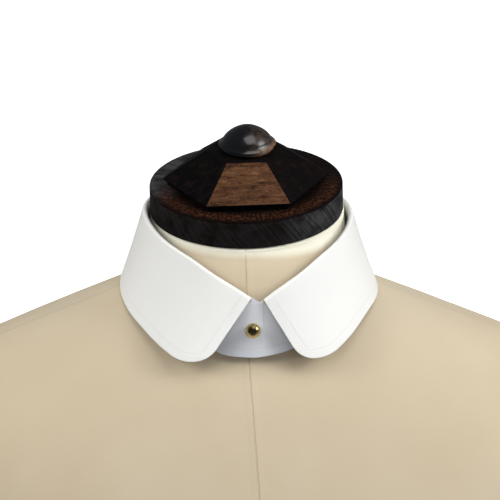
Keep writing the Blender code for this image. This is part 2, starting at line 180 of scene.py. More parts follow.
# Camera: its turn and rise round the collar, how far off it is, where it aims, and its lens
CAMERA_TURN = -4.2
CAMERA_RISE = 12.0
CAMERA_DISTANCE = 2.4
AIM_RIGHT = 0.00124
AIM_UP = 0.0168
LENS = 320.0
SENSOR = 36.0

# Wood of each part of the cap: grain to the metre, refraction, roughness, height of its marks
DISC_WOOD = ((60.0, 520.0, 520.0), 1.06, 0.42, 0.00025)
PYRAMID_WOOD = ((55.0, 640.0, 900.0), 1.06, 0.42, 0.00025)
KNOB_WOOD = ((90.0, 420.0, 420.0), 1.50, 0.13, 0.00004)

# Height of the top of the fold: turn, on the left, on the right
FOLD = np.array((
    (0, 0.0030, 0.0016), (4, 0.0056, 0.0044), (12, 0.0105, 0.0099), (25, 0.0173, 0.0172),
    (40, 0.0248, 0.0248), (55, 0.0298, 0.0298), (72, 0.0351, 0.0351), (90, 0.0395, 0.0395),
    (110, 0.0420, 0.0420), (140, 0.0440, 0.0440), (180, 0.0455, 0.0455),
))
# How the leaf falls: turn, lean, sweep on the left and right, depth on the left and right
FALL = np.array((
    (4, 16.0, 35.3, 30.7, 0.0500, 0.0466),
    (25, 18.0, 32.0, 32.0, 0.0475, 0.0433),
    (45, 17.5, 31.0, 31.0, 0.0450, 0.0413),
    (60, 17.6, 28.0, 28.0, 0.0425, 0.0415),
    (90, 16.4, 17.0, 17.0, 0.0394, 0.0399),
    (135, 13.0, 5.0, 5.0, 0.0425, 0.0425),
    (180, 12.0, 0.0, 0.0, 0.0440, 0.0440),
))
# Lower edge of the band: turn, on the left, on the right
BAND = np.array((
    (0, -0.0264, -0.0264), (12, -0.0259, -0.0244), (22, -0.0238, -0.0216), (45, -0.0146, -0.0144),
    (60, -0.0055, -0.0055), (75, 0.0026, 0.0026), (90, 0.0070, 0.0070), (120, 0.0070, 0.0070),
    (180, 0.0058, 0.0058),
))
# Tops of the free ends of the band: turn, of the inner end, of the outer end
ENDS = np.array((
    (-22.0, 0.0060, 0.0014), (-9.0, 0.0060, 0.0018), (-4.0, 0.0056, 0.0022), (1.5, 0.0026, 0.0026),
    (5.3, 0.0014, 0.0050), (14.0, 0.0010, 0.0060),
))
UP = np.array((0.0, 0.0, 1.0))


def smooth_curve(stations, values, at):
    """A smooth curve through the points of a table, which never overshoots them."""
    steps = np.diff(stations)
    slopes = np.diff(values) / steps
    tangents = np.zeros(len(values))
    tangents[0] = slopes[0]
    tangents[-1] = slopes[-1]
    for i in range(1, len(slopes)):
        if slopes[i - 1] * slopes[i] > 0.0:
            before = 2.0 * steps[i] + steps[i - 1]
            after = steps[i] + 2.0 * steps[i - 1]
            tangents[i] = (before + after) / (before / slopes[i - 1] + after / slopes[i])
    at = np.clip(at, stations[0], stations[-1])
    i = np.clip(np.searchsorted(stations, at, side="right") - 1, 0, len(steps) - 1)
    t = (at - stations[i]) / steps[i]
    near = (2.0 * t**3 - 3.0 * t**2 + 1.0) * values[i] + (t**3 - 2.0 * t**2 + t) * steps[i] * tangents[i]
    far = (3.0 * t**2 - 2.0 * t**3) * values[i + 1] + (t**3 - t**2) * steps[i] * tangents[i + 1]
    return near + far


def read(table, column, turn):
    return smooth_curve(table[:, 0], table[:, column], np.abs(turn))


def read_sides(table, left, right, turn):
    return np.where(turn < 0.0, read(table, left, turn), read(table, right, turn))


def ease(value, low, high):
    t = np.clip((value - low) / (high - low), 0.0, 1.0)
    return t * t * (3.0 - 2.0 * t)


def turn_of(run):
    return (run + 180.0) % 360.0 - 180.0


def neck_oval(run):
    """Points round the neck at z = 0, with the outward direction and the direction to the front."""
    angle = np.radians(turn_of(run))
    flat = np.zeros_like(angle)
    points = np.stack((BAND_HALF_WIDTH * np.sin(angle), -BAND_DEPTH * np.cos(angle), flat), -1)
    outward = np.stack((BAND_DEPTH * np.sin(angle), -BAND_HALF_WIDTH * np.cos(angle), flat), -1)
    outward /= np.linalg.norm(outward, axis=-1, keepdims=True)
    return points, outward, np.sign(angle)[:, None] * np.cross(outward, UP)


def fold_radius(turn):
    closed = ease(np.abs(turn), *FOLD_OPENS)
    return FOLD_RADIUS_FRONT + (FOLD_RADIUS - FOLD_RADIUS_FRONT) * closed


def fold_centre(turn):
    return COLLAR_HEIGHT + read_sides(FOLD, 1, 2, turn) - fold_radius(turn) - CLOTH / 2


def seam_height(turn):
    risen = ease(np.abs(turn), *SEAM_SINKS)
    return fold_centre(turn) - SEAM_RISE_FRONT - (SEAM_RISE - SEAM_RISE_FRONT) * risen


def lap(run):
    near_inner_end = 1.0 - ease(-run, *LAP_EASES)
    near_outer_end = 1.0 - ease(run + 360.0, *LAP_EASES)
    return LAP_OFFSET * (near_outer_end - near_inner_end)


def strip_line(start_turn, end_turn):
    """Fine runs along a strip and their lengths along the fold."""
    fine = np.linspace(start_turn, end_turn, 4000)
    line, _, _ = neck_oval(fine)
    line[:, 2] = fold_centre(turn_of(fine))
    return fine, np.concatenate(((0.0,), np.cumsum(np.linalg.norm(np.diff(line, axis=0), axis=1))))


def strip(start_turn, end_turn, corner_radius, step, rounding, passed=()):
    """Runs along a strip, closer at its ends, what a rounded corner takes off, and how near the end is.

    The runs in passed are among them.
    """
    fine, length = strip_line(start_turn, end_turn)
    corner = corner_radius * (1.0 - np.cos(np.linspace(0.0, pi / 2, rounding)))
    middle = np.linspace(corner_radius, length[-1] - corner_radius, int(length[-1] / step))
    stations = np.concatenate((corner, middle[1:-1], length[-1] - corner[::-1]))
    exact = np.interp(-np.array(passed), -fine, length)
    for station in exact:
        stations = stations[np.abs(stations - station) > step / 4]
    stations = np.sort(np.append(stations, exact))
    to_end = np.minimum(stations, length[-1] - stations)
    inside = np.clip(corner_radius - to_end, 0.0, corner_radius)
    return np.interp(stations, length, fine), corner_radius - np.sqrt(corner_radius**2 - inside**2), to_end


class LeafForm:
    """The leaf at a set of runs: its seam, its roll, and how it falls from the roll."""

    def __init__(self, run):
        self.turn = turn_of(run)
        self.radius = fold_radius(self.turn)[:, None]
        inner, self.outward, forward = neck_oval(run)
        inner = inner + self.outward * lap(run)[:, None]
        self.seam = inner + UP * seam_height(self.turn)[:, None]
        self.roll = inner + UP * fold_centre(self.turn)[:, None] + self.outward * self.radius
        self.lean = np.radians(read(FALL, 1, self.turn))[:, None]
        sweep = np.radians(read_sides(FALL, 2, 3, self.turn))[:, None]
        self.down = -np.cos(sweep) * UP - np.sin(sweep) * forward
        self.fall = np.cos(self.lean) * self.down + np.sin(self.lean) * self.outward
        self.depth = read_sides(FALL, 4, 5, self.turn) - self.radius[:, 0] - CLOTH / 2
        self.top = self.rolled(1.0)

    def rolled(self, share):
        angle = share * (pi - self.lean)
        return self.roll - self.radius * (np.cos(angle) * self.outward + np.sin(angle) * self.down)


def band_edges(run, taken):
    """Heights of the top and lower edges of the band, with what its rounded ends lose."""
    turn = turn_of(run)
    past = np.maximum(run - LEFT_CORNER_TURN, RIGHT_CORNER_TURN - 360.0 - run)
    inner_top = smooth_curve(ENDS[:, 0], ENDS[:, 1], turn)
    outer_top = smooth_curve(ENDS[:, 0], ENDS[:, 2], turn)
    end_top = np.where(run > -180.0, inner_top, outer_top)
    free = past > NOTCH - NOTCH_SLANT / 2
    top = np.where(free, COLLAR_HEIGHT + end_top, seam_height(turn) - CLEARANCE) - taken
    bottom = COLLAR_HEIGHT + read_sides(BAND, 1, 2, turn) + taken
    return top, bottom


def band_place(turn, height, offset):
    """A frame on the band: Z out of the cloth, X along it, at an offset from its middle line."""
    run = np.array((float(turn),))
    top, bottom = band_edges(run, 0.0)
    share = (top[0] - COLLAR_HEIGHT - height) / (top[0] - bottom[0])
    inner, outward, _ = neck_oval(run)
    slope = atan2(BAND_FLARE, top[0] - bottom[0])
    out = Vector(outward[0])
    axis = out * cos(slope) + Vector(UP) * sin(slope)
    along = Vector(UP).cross(axis).normalized()
    place = Vector(inner[0]) + out * (BAND_FLARE * share) + axis * offset
    place.z = COLLAR_HEIGHT + height + axis.z * offset
    axes = Matrix((along, axis.cross(along), axis)).transposed().to_4x4()
    return Matrix.Translation(place) @ axes


def cap_frame():
    lean = Matrix.Rotation(radians(-CAP_LEAN), 4, "Y") @ Matrix.Rotation(radians(CAP_TILT), 4, "X")
    return Matrix.Translation((CAP_SIDE, 0.0, COLLAR_HEIGHT + CAP_HEIGHT)) @ lean


def make_piece(name, shape, finish, smooth_angle=SMOOTH_ANGLE):
    """Turns a bmesh into a named object at the origin."""
    mesh = bpy.data.meshes.new(name)
    shape.to_mesh(mesh)
    shape.free()
    mesh.shade_smooth()
    mesh.set_sharp_from_angle(angle=radians(smooth_angle))
    piece = bpy.data.objects.new(name, mesh)
    bpy.context.scene.collection.objects.link(piece)
    mesh.materials.append(finish)
    return piece


def settle(piece):
    """Makes the result of the piece's modifiers its mesh."""
    bpy.context.view_layer.update()
    graph = bpy.context.evaluated_depsgraph_get()
    finished = bpy.data.meshes.new_from_object(piece.evaluated_get(graph), depsgraph=graph)
    piece.modifiers.clear()
    old = piece.data
    piece.data = finished
    bpy.data.meshes.remove(old)
    finished.name = piece.name
    finished.shade_smooth()
    finished.set_sharp_from_angle(angle=radians(SMOOTH_ANGLE))


def finish_piece(piece, slot, *nodes):
    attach(piece, "root")
    if nodes:
        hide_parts(*nodes)


def cloth_piece(name, columns, rim, finish, thickness, edge, cutters=()):
    """A wall of cloth on a grid that is pushed onto columns of points.

    The UV map cloth is in metres along and across it. The UV map rim keeps how far the nearest free edge is.
    """
    long, wide = columns.shape[:2]
    along = np.zeros((long, wide))
    along[1:] = np.cumsum(np.linalg.norm(np.diff(columns[:, wide // 2], axis=0), axis=1))[:, None]
    across = np.zeros((long, wide))
    across[:, 1:] = np.cumsum(np.linalg.norm(np.diff(columns, axis=1), axis=2), axis=1)
    shape = bmesh.new()
    cloth_uv = shape.loops.layers.uv.new("cloth")
    rim_uv = shape.loops.layers.uv.new("rim")
    bmesh.ops.create_grid(shape, x_segments=long - 1, y_segments=wide - 1, size=0.5)
    for vert in shape.verts:
        i = round((vert.co.x + 0.5) * (long - 1))
        j = round((vert.co.y + 0.5) * (wide - 1))
        vert.co = columns[i, j]
        for loop in vert.link_loops:
            loop[cloth_uv].uv = (along[i, j], across[i, j])
            loop[rim_uv].uv = (rim[i, j], 0.0)
    bmesh.ops.recalc_face_normals(shape, faces=shape.faces)
    piece = make_piece(name, shape, finish)
    wall = piece.modifiers.new("Cloth", "SOLIDIFY")
    wall.thickness = thickness
    wall.offset = 0.0
    wall.use_even_offset = True
    turned_edge = piece.modifiers.new("Edge", "BEVEL")
    turned_edge.width = edge
    turned_edge.segments = 3
    turned_edge.limit_method = "ANGLE"
    turned_edge.angle_limit = HEM_ANGLE
    for cutter in cutters:
        cut = piece.modifiers.new(cutter.name, "BOOLEAN")
        cut.operation = "DIFFERENCE"
        cut.object = cutter
    settle(piece)
    for cutter in cutters:
        bpy.data.objects.remove(cutter, do_unlink=True)
    return piece


def turned(name, profile, finish, steps, place, edges=0.0, smooth_angle=SMOOTH_ANGLE, painted_sides=()):
    """A solid turned round its own axis, with its sharp edges eased.

    The attribute local keeps each point as it was before it was placed, and tone the painted light of each
    side.
    """
    shape = bmesh.new()
    verts = [shape.verts.new((radius, 0.0, height)) for radius, height in profile]
    lines = [shape.edges.new(pair) for pair in zip(verts, verts[1:])]
    axis = {"axis": (0, 0, 1), "cent": (0, 0, 0), "angle": 2 * pi}
    bmesh.ops.spin(shape, geom=verts + lines, **axis, steps=steps, use_merge=True)
    bmesh.ops.remove_doubles(shape, verts=shape.verts, dist=1e-6)
    bmesh.ops.recalc_face_normals(shape, faces=shape.faces)
    if edges:
        sharp = [edge for edge in shape.edges if edge.calc_face_angle(0.0) > SHARP_ANGLE]
        bmesh.ops.bevel(
            shape, geom=sharp, offset=edges, offset_type="OFFSET", segments=3, profile=0.5,
            affect="EDGES", material=-1, clamp_overlap=True,
        )
    local = shape.verts.layers.float_vector.new("local")
    for vert in shape.verts:
        vert[local] = vert.co.copy()
    tone = shape.loops.layers.float_color.new("tone")
    for face in shape.faces:
        shade = 0.0
        for side_turn, side_shade in painted_sides:
            facing = Vector((sin(radians(side_turn)), -cos(radians(side_turn)), 0.0))
            if face.normal.dot(facing) > SIDE_FACES and face.normal.z > 0.1:
                shade = side_shade
        for loop in face.loops:
            loop[tone] = (shade, shade, shade, 1.0)
    bmesh.ops.transform(shape, matrix=place, verts=shape.verts)
    return make_piece(name, shape, finish, smooth_angle)


def along_line(gone, values, at):
    """The value at a length along a line, from the lengths gone at its points."""
    return Vector([np.interp(at, gone, values[:, k]) for k in range(3)])


def stitch_along(shape, points, outward, pitch, length, width, height):
    """Stitches as low beads along a line of points on the cloth, with outward for their directions."""
    gone = np.concatenate(((0.0,), np.cumsum(np.linalg.norm(np.diff(points, axis=0), axis=1))))
    for middle in np.arange(pitch / 2, gone[-1], pitch):
        start, end = (along_line(gone, points, middle + side) for side in (-length, length))
        up = along_line(gone, outward, middle).normalized()
        bead(shape, (start + end) / 2, (end - start).normalized(), up, (length / 2, width / 2, height))


def bead(shape, place, along, up, radii):
    """Adds one bead to a shape, with its length along, its height up and its three radii."""
    axes = Matrix((along, up.cross(along).normalized(), up)).transposed().to_4x4()
    one = bpy.data.meshes.new("bead")
    form = bmesh.new()
    bmesh.ops.create_uvsphere(
        form, u_segments=6, v_segments=4, radius=1.0,
        matrix=Matrix.Translation(place) @ axes @ Matrix.Diagonal((*radii, 1.0)),
    )
    form.to_mesh(one)
    form.free()
    shape.from_mesh(one)
    bpy.data.meshes.remove(one)


def slot_outline(width, height, grown, count):
    """Points evenly round a slot with round ends, and the directions out of it."""
    radius = min(width, height) / 2
    half = Vector(((width - 2 * radius) / 2, (height - 2 * radius) / 2))
    fine = []
    for angle in np.linspace(0.0, 2 * pi, 400, endpoint=False):
        out = Vector((cos(angle), sin(angle)))
        corner = Vector((half.x if out.x > 0.0 else -half.x, half.y if out.y > 0.0 else -half.y))
        fine.append((corner + out * (radius + grown), out))
    places = np.array([tuple(point) for point, _ in fine + fine[:1]])
    gone = np.concatenate(((0.0,), np.cumsum(np.linalg.norm(np.diff(places, axis=0), axis=1))))
    at = np.linspace(0.0, gone[-1], count, endpoint=False)
    chosen = [min(int(np.searchsorted(gone, length)), len(fine) - 1) for length in at]
    xs, ys = (np.interp(at, gone, places[:, k]) for k in (0, 1))
    return [(Vector((x, y)), fine[i][1]) for x, y, i in zip(xs, ys, chosen)]


def worked_hole(shape, place, size):
    """Buttonhole stitches round a hole, on the face of the cloth."""
    perimeter = 2 * abs(size[0] - size[1]) + pi * (min(size) + HOLE_STITCH)
    turn = place.to_3x3()
    for point, out in slot_outline(*size, HOLE_STITCH / 2, int(perimeter / HOLE_PITCH)):
        bead(
            shape, place @ point.to_3d(), turn @ out.to_3d(), turn @ Vector((0.0, 0.0, 1.0)),
            (HOLE_STITCH / 2, HOLE_PITCH * 0.45, HOLE_STITCH_HEIGHT),
        )


def hole_cutter(name, place, width, height):
    shape = bmesh.new()
    radius = min(width, height) / 2
    ring = bmesh.ops.create_circle(shape, cap_ends=True, radius=radius, segments=32)["verts"]
    for vert in ring:
        vert.co.x += (width / 2 - radius) * (1.0 if vert.co.x > 0.0 else -1.0) * (width > height)
        vert.co.y += (height / 2 - radius) * (1.0 if vert.co.y > 0.0 else -1.0) * (height > width)
        vert.co.z = -HOLE_DEPTH / 2
    sides = bmesh.ops.extrude_face_region(shape, geom=shape.faces[:])["geom"]
    lifted = [item for item in sides if isinstance(item, bmesh.types.BMVert)]
    bmesh.ops.translate(shape, verts=lifted, vec=(0.0, 0.0, HOLE_DEPTH))
    bmesh.ops.recalc_face_normals(shape, faces=shape.faces)
    bmesh.ops.transform(shape, matrix=place, verts=shape.verts)
    mesh = bpy.data.meshes.new(name)
    shape.to_mesh(mesh)
    shape.free()
    cutter = bpy.data.objects.new(name, mesh)
    bpy.context.scene.collection.objects.link(cutter)
    return cutter


def node(tree, kind, inputs=(), **settings):
    """A new node with its settings made and its inputs joined to sockets or set to values."""
    made = tree.nodes.new("ShaderNode" + kind)
    for name, value in settings.items():
        setattr(made, name, value)
    for key, value in inputs.items() if isinstance(inputs, dict) else enumerate(inputs):
        if isinstance(value, bpy.types.NodeSocket):
            tree.links.new(value, made.inputs[key])
        else:
            made.inputs[key].default_value = value
    return made


def math(tree, operation, *values):
    return node(tree, "Math", values, operation=operation).outputs[0]


def plus(tree, first, second):
    return math(tree, "ADD", first, second)


def minus(tree, first, second):
    return math(tree, "SUBTRACT", first, second)


def times(tree, first, second):
    return math(tree, "MULTIPLY", first, second)


def times_plus(tree, first, second, added):
    return math(tree, "MULTIPLY_ADD", first, second, added)


def noise(tree, vector, scale, detail=2.0, roughness=0.5):
    wanted = {"Vector": vector, "Scale": scale, "Detail": detail, "Roughness": roughness}
    return node(tree, "TexNoise", wanted).outputs[0]


def step_up(tree, value, low, high):
    """0 up to low and 1 from high on."""
    wanted = {"Value": value, "From Min": low, "From Max": high}
    return node(tree, "MapRange", wanted, interpolation_type="SMOOTHSTEP").outputs[0]


def stretched(tree, vector, scale):
    return node(tree, "VectorMath", (vector, scale), operation="MULTIPLY").outputs[0]


def blend(tree, factor, low, high):
    """A mix of two colours."""
    wanted = {0: factor, 6: low, 7: high}
    return node(tree, "Mix", wanted, data_type="RGBA").outputs[2]


def colour(levels, share=1.0):
    return (*(level * share for level in levels), 1.0)


def new_group(name, inputs, outputs):
    """An empty node group with its sockets, and the nodes at its two ends."""
    tree = bpy.data.node_groups.new(name, "ShaderNodeTree")
    for socket, kind in inputs.items():
        tree.interface.new_socket(socket, in_out="INPUT", socket_type="NodeSocket" + kind)
    for socket in outputs:
        tree.interface.new_socket(socket, in_out="OUTPUT", socket_type="NodeSocketFloat")
    return tree, tree.nodes.new("NodeGroupInput"), tree.nodes.new("NodeGroupOutput")


def use_group(tree, name, **inputs):
    group = tree.nodes.new("ShaderNodeGroup")
    group.node_tree = bpy.data.node_groups[name]
    for key, value in inputs.items():
        if isinstance(value, bpy.types.NodeSocket):
            tree.links.new(value, group.inputs[key])
        else:
            group.inputs[key].default_value = value
    return group


def weave_group():
    """Plain weave: threads that pass over and under each other, with thicker threads here and there."""
    tree, start, end = new_group("weave", {"Vector": "Vector", "Pitch": "Float"}, ("Height", "Slub"))
    per_metre = math(tree, "DIVIDE", 2 * pi, start.outputs["Pitch"])
    scaled = node(tree, "VectorMath", {0: start.outputs["Vector"]}, operation="SCALE")
    tree.links.new(per_metre, scaled.inputs["Scale"])
    parts = node(tree, "SeparateXYZ", {0: scaled.outputs[0]})
    over = times(tree, math(tree, "SINE", parts.outputs[0]), math(tree, "SINE", parts.outputs[1]))
    slub = noise(tree, stretched(tree, start.outputs["Vector"], (120.0, 2600.0, 1.0)), 1.0, 3.0)
    height = times_plus(tree, over, 0.35, slub)
    tree.links.new(height, end.inputs["Height"])
    tree.links.new(slub, end.inputs["Slub"])


def grain_group():
    """Wood grain: long streaks, and fine dark pores between them."""
    tree, start, end = new_group("grain", {"Vector": "Vector", "Scale": "Vector"}, ("Streak", "Pore"))
    along = stretched(tree, start.outputs["Vector"], start.outputs["Scale"])
    broad = noise(tree, along, 1.0, 4.0, 0.6)
    fine = noise(tree, along, 4.0, 3.0, 0.6)
    streak = times_plus(tree, fine, 0.45, times(tree, broad, 0.6))
    tree.links.new(step_up(tree, streak, 0.38, 0.68), end.inputs["Streak"])
    tree.links.new(step_up(tree, fine, 0.62, 0.56), end.inputs["Pore"])


def wear_group():
    """Soft uneven patches, as handling and age leave them."""
    tree, start, end = new_group("wear", {"Vector": "Vector", "Scale": "Float"}, ("Patch", "Speck"))
    patch = noise(tree, start.outputs["Vector"], start.outputs["Scale"], 3.0, 0.55)
    often = times(tree, start.outputs["Scale"], 14.0)
    tree.links.new(step_up(tree, patch, 0.3, 0.7), end.inputs["Patch"])
    speck = noise(tree, start.outputs["Vector"], often, 2.0)
    tree.links.new(step_up(tree, speck, 0.6, 0.72), end.inputs["Speck"])


def new_finish(name):
    finish = bpy.data.materials.new(name)
    finish.use_nodes = True
    return finish, finish.node_tree, finish.node_tree.nodes["Principled BSDF"]


def bump(tree, shader, height, distance, strength=1.0):
    made = node(tree, "Bump", {"Height": height, "Distance": distance, "Strength": strength})
    tree.links.new(made.outputs[0], shader.inputs["Normal"])


def cotton_finish(name, tint):
    """White starched cotton, with the doubled hem, the sunk row of stitches with painted shade in its groove,
    and slight puckers beside it.
    """
    finish, tree, shader = new_finish(name)
    cloth = node(tree, "UVMap", uv_map="cloth").outputs[0]
    rim = node(tree, "SeparateXYZ", {0: node(tree, "UVMap", uv_map="rim").outputs[0]}).outputs[0]
    weave = use_group(tree, "weave", Vector=cloth, Pitch=THREAD_PITCH)
    wear = use_group(tree, "wear", Vector=cloth, Scale=22.0)
    place = node(tree, "TexCoord").outputs["Object"]
    ripple = noise(tree, place, 26.0, 2.0)
    off_row = math(tree, "ABSOLUTE", minus(tree, rim, STITCH_INSET))
    near_row = step_up(tree, off_row, 0.0028, 0.0)
    groove = step_up(tree, off_row, 0.0007, 0.0)
    pucker = times(tree, noise(tree, stretched(tree, cloth, (420.0, 140.0, 1.0)), 1.0, 1.0), near_row)
    height = times(tree, weave.outputs["Height"], 0.018)
    height = times_plus(tree, ripple, 0.55, height)
    height = times_plus(tree, pucker, 0.16, height)
    height = times_plus(tree, groove, -0.06, height)
    height = times_plus(tree, step_up(tree, rim, STITCH_INSET, STITCH_INSET - 0.0006), 0.05, height)
    bump(tree, shader, height, 0.001, 0.8)
    base = colour(tint)
    dull = colour(tint, 0.955)
    # Painted shade darkens the groove of the stitch row; slubs and wear patches vary the tone
    tone = times_plus(tree, weave.outputs["Slub"], 0.5, times(tree, groove, 0.9))
    tone = times_plus(tree, wear.outputs["Patch"], 0.25, tone)
    tree.links.new(blend(tree, tone, base, dull), shader.inputs["Base Color"])
    rough = times_plus(tree, wear.outputs["Patch"], 0.12, 0.52)
    tree.links.new(rough, shader.inputs["Roughness"])
    shader.inputs["Specular IOR Level"].default_value = 0.35
    shader.inputs["Sheen Weight"].default_value = 0.05
    return finish


def thread_finish(name, tint):
    finish, tree, shader = new_finish(name)
    place = node(tree, "TexCoord").outputs["Object"]
    twist = noise(tree, place, 2600.0, 2.0)
    base = colour(tint, 0.98)
    dull = colour(tint, 0.88)
    tree.links.new(blend(tree, twist, base, dull), shader.inputs["Base Color"])
    bump(tree, shader, twist, 0.0001, 0.5)
    shader.inputs["Roughness"].default_value = 0.6
    return finish


def gilt_finish(colours):
    """Gilt brass, slightly rubbed and specked, with a painted dark reflection in the middle of the ball where
    it faces the viewer.
    """
    finish, tree, shader = new_finish("rubbed_gilt")
    place = node(tree, "TexCoord").outputs["Object"]
    wear = use_group(tree, "wear", Vector=place, Scale=260.0)
    base = colour(colours.gilt)
    rubbed = colour(colours.gilt, 0.75)
    mark = times_plus(tree, wear.outputs["Patch"], 0.5, times(tree, wear.outputs["Speck"], 0.3))
    # Painted dark reflection: the gilt darkens where its face turns towards the viewer
    facing = node(tree, "LayerWeight", {"Blend": 0.5}).outputs["Facing"]
    deep = colour(colours.gilt, 0.13)
    shade = blend(tree, step_up(tree, facing, 0.08, 0.40), deep, blend(tree, mark, base, rubbed))
    tree.links.new(shade, shader.inputs["Base Color"])
    tree.links.new(times_plus(tree, mark, 0.10, 0.24), shader.inputs["Roughness"])
    shader.inputs["Metallic"].default_value = 1.0
    bump(tree, shader, wear.outputs["Patch"], 0.00004, 0.5)
    return finish


def wood_finish(name, colours, wood, marks):
    """Dark oiled wood, with the grain along the piece's own X, and a lit copy of it painted where the tone
    attribute is high.

    marks gives layers of colour with their shares, the height of its marks, and how much it dulls the wood.
    """
    grain_scale, refraction, roughness, relief = wood
    finish, tree, shader = new_finish(name)
    place = node(tree, "Attribute", attribute_name="local").outputs["Vector"]
    side = node(tree, "Attribute", attribute_name="tone").outputs["Fac"]
    grain = use_group(tree, "grain", Vector=place, Scale=grain_scale)
    wear = use_group(tree, "wear", Vector=place, Scale=90.0)
    streak = times(tree, grain.outputs["Streak"], grain.outputs["Pore"])
    dark = blend(tree, streak, colour(colours.wood, 0.35), colour(colours.wood))
    worn_and_lit = blend(tree, streak, colour(colours.painted_lit_wood, 0.45), colour(colours.painted_lit_wood))
    # Painted light: each side's tone picks between the dark wood and its lit copy
    tint = blend(tree, side, dark, worn_and_lit)
    height = times_plus(tree, streak, 0.5, times(tree, wear.outputs["Patch"], 0.3))
    layers, depth, dull = marks(tree, place, side)
    for share, shade in layers:
        tint = blend(tree, share, tint, colour(shade))
    height = plus(tree, height, depth)
    tree.links.new(tint, shader.inputs["Base Color"])
    gloss = times_plus(tree, wear.outputs["Patch"], 0.05, plus(tree, dull, roughness))
    tree.links.new(times_plus(tree, grain.outputs["Pore"], -0.03, gloss), shader.inputs["Roughness"])
    shader.inputs["IOR"].default_value = refraction
    bump(tree, shader, height, relief, 0.6)
    return finish


def disc_marks(tree, place, _side):
    """Short radial cuts near the front of the top of the disc, slanting streaks round its side, and grey dust
    with a painted sheen towards the back left of the top and the right of the side.
    """
    parts = node(tree, "SeparateXYZ", {0: place})
    x, y, z = parts.outputs
    turn = math(tree, "ARCTAN2", x, times(tree, y, -1.0))
    radius = math(tree, "SQRT", plus(tree, times(tree, x, x), times(tree, y, y)))
    on_top = step_up(tree, z, -0.0012, -0.0004)
    zone = times(tree, step_up(tree, radius, 0.0385, 0.0450), step_up(tree, radius, 0.0516, 0.0480))
    front = step_up(tree, y, 0.012, -0.016)
    spread = node(tree, "CombineXYZ", (
        times(tree, turn, 38.0), times(tree, radius, 330.0), 0.0
    )).outputs[0]
    dash = step_up(tree, noise(tree, spread, 1.0, 3.0, 0.6), 0.44, 0.62)
    cuts = times(tree, times(tree, dash, zone), times(tree, on_top, front))
    along = times(tree, turn, DISC_RADIUS)
    slant = node(tree, "CombineXYZ", (
        times(tree, times_plus(tree, z, 0.75, along), 620.0),
        times(tree, times_plus(tree, along, -0.75, z), 34.0),
        0.0,
    )).outputs[0]
    streak = step_up(tree, noise(tree, slant, 1.0, 3.0), 0.42, 0.66)
    rim = times(tree, streak, minus(tree, 1.0, on_top))
    depth = times_plus(tree, rim, -1.4, times(tree, cuts, 1.2))
    cloud = noise(tree, place, 120.0, 3.0)
    # Dust with a painted sheen: greyer on the top towards the back left, and on the right of the disc's side
    behind = times(tree, step_up(tree, minus(tree, y, x), 0.020, 0.055), on_top)
    right = times_plus(tree, step_up(tree, x, 0.012, 0.034), 0.75, 0.25)
    beside = times(tree, right, minus(tree, 1.0, on_top))
    dust_and_sheen = times(tree, plus(tree, behind, beside), step_up(tree, cloud, 0.2, 0.6))
    worn_and_lit = times(tree, minus(tree, 1.0, streak), 0.65)
    dust_and_sheen = times(tree, dust_and_sheen, plus(tree, worn_and_lit, 0.35))
    return ((cuts, WORN_RED), (dust_and_sheen, DUST_AND_SHEEN)), depth, 0.0


def pyramid_marks(tree, place, side):
    """Dark smudges across the grain of the painted lit side, light specks between them, and painted shade on
    the sides that are not lit.
    """
    smudge = noise(tree, stretched(tree, place, (110.0, 330.0, 330.0)), 1.0, 4.0, 0.65)
    speck = noise(tree, place, 1500.0, 2.0)
    mark = times_plus(tree, speck, 0.5, smudge)
    dark = times(tree, step_up(tree, mark, 0.74, 0.92), 0.8)
    light = times(tree, step_up(tree, mark, 0.68, 0.50), times(tree, side, 0.8))
    # Painted shade in ebony on the sides that are not lit
    unlit = times_plus(tree, side, -0.8, 0.8)
    return ((unlit, EBONY), (dark, DARKENED), (light, WORN_AND_LIT_BROWN)), 0.0, 0.0


def knob_marks(tree, place, _side):
    """Lighter brown on the right of the knob: rubbed wood with painted light on the dome, and painted light
    on the right of the bead.
    """
    x, y, z = node(tree, "SeparateXYZ", {0: place}).outputs
    # Rubbed wood and painted light on the right of the dome
    rubbed = times(tree, step_up(tree, x, -0.004, 0.012), step_up(tree, y, 0.010, -0.004))
    patchy = times(tree, step_up(tree, noise(tree, place, 500.0, 4.0, 0.7), 0.38, 0.75), 0.55)
    # Painted light on the right of the bead and the lip above it
    low = times(tree, step_up(tree, z, 0.0256, 0.0236), step_up(tree, x, -0.003, 0.011))
    low = times(tree, low, step_up(tree, noise(tree, place, 900.0, 2.0), 0.2, 0.6))
    worn_and_lit = math(tree, "MAXIMUM", times(tree, rubbed, patchy), low)
    return ((1.0, EBONY), (worn_and_lit, WORN_AND_LIT_BROWN)), 0.0, times(tree, rubbed, 0.25)


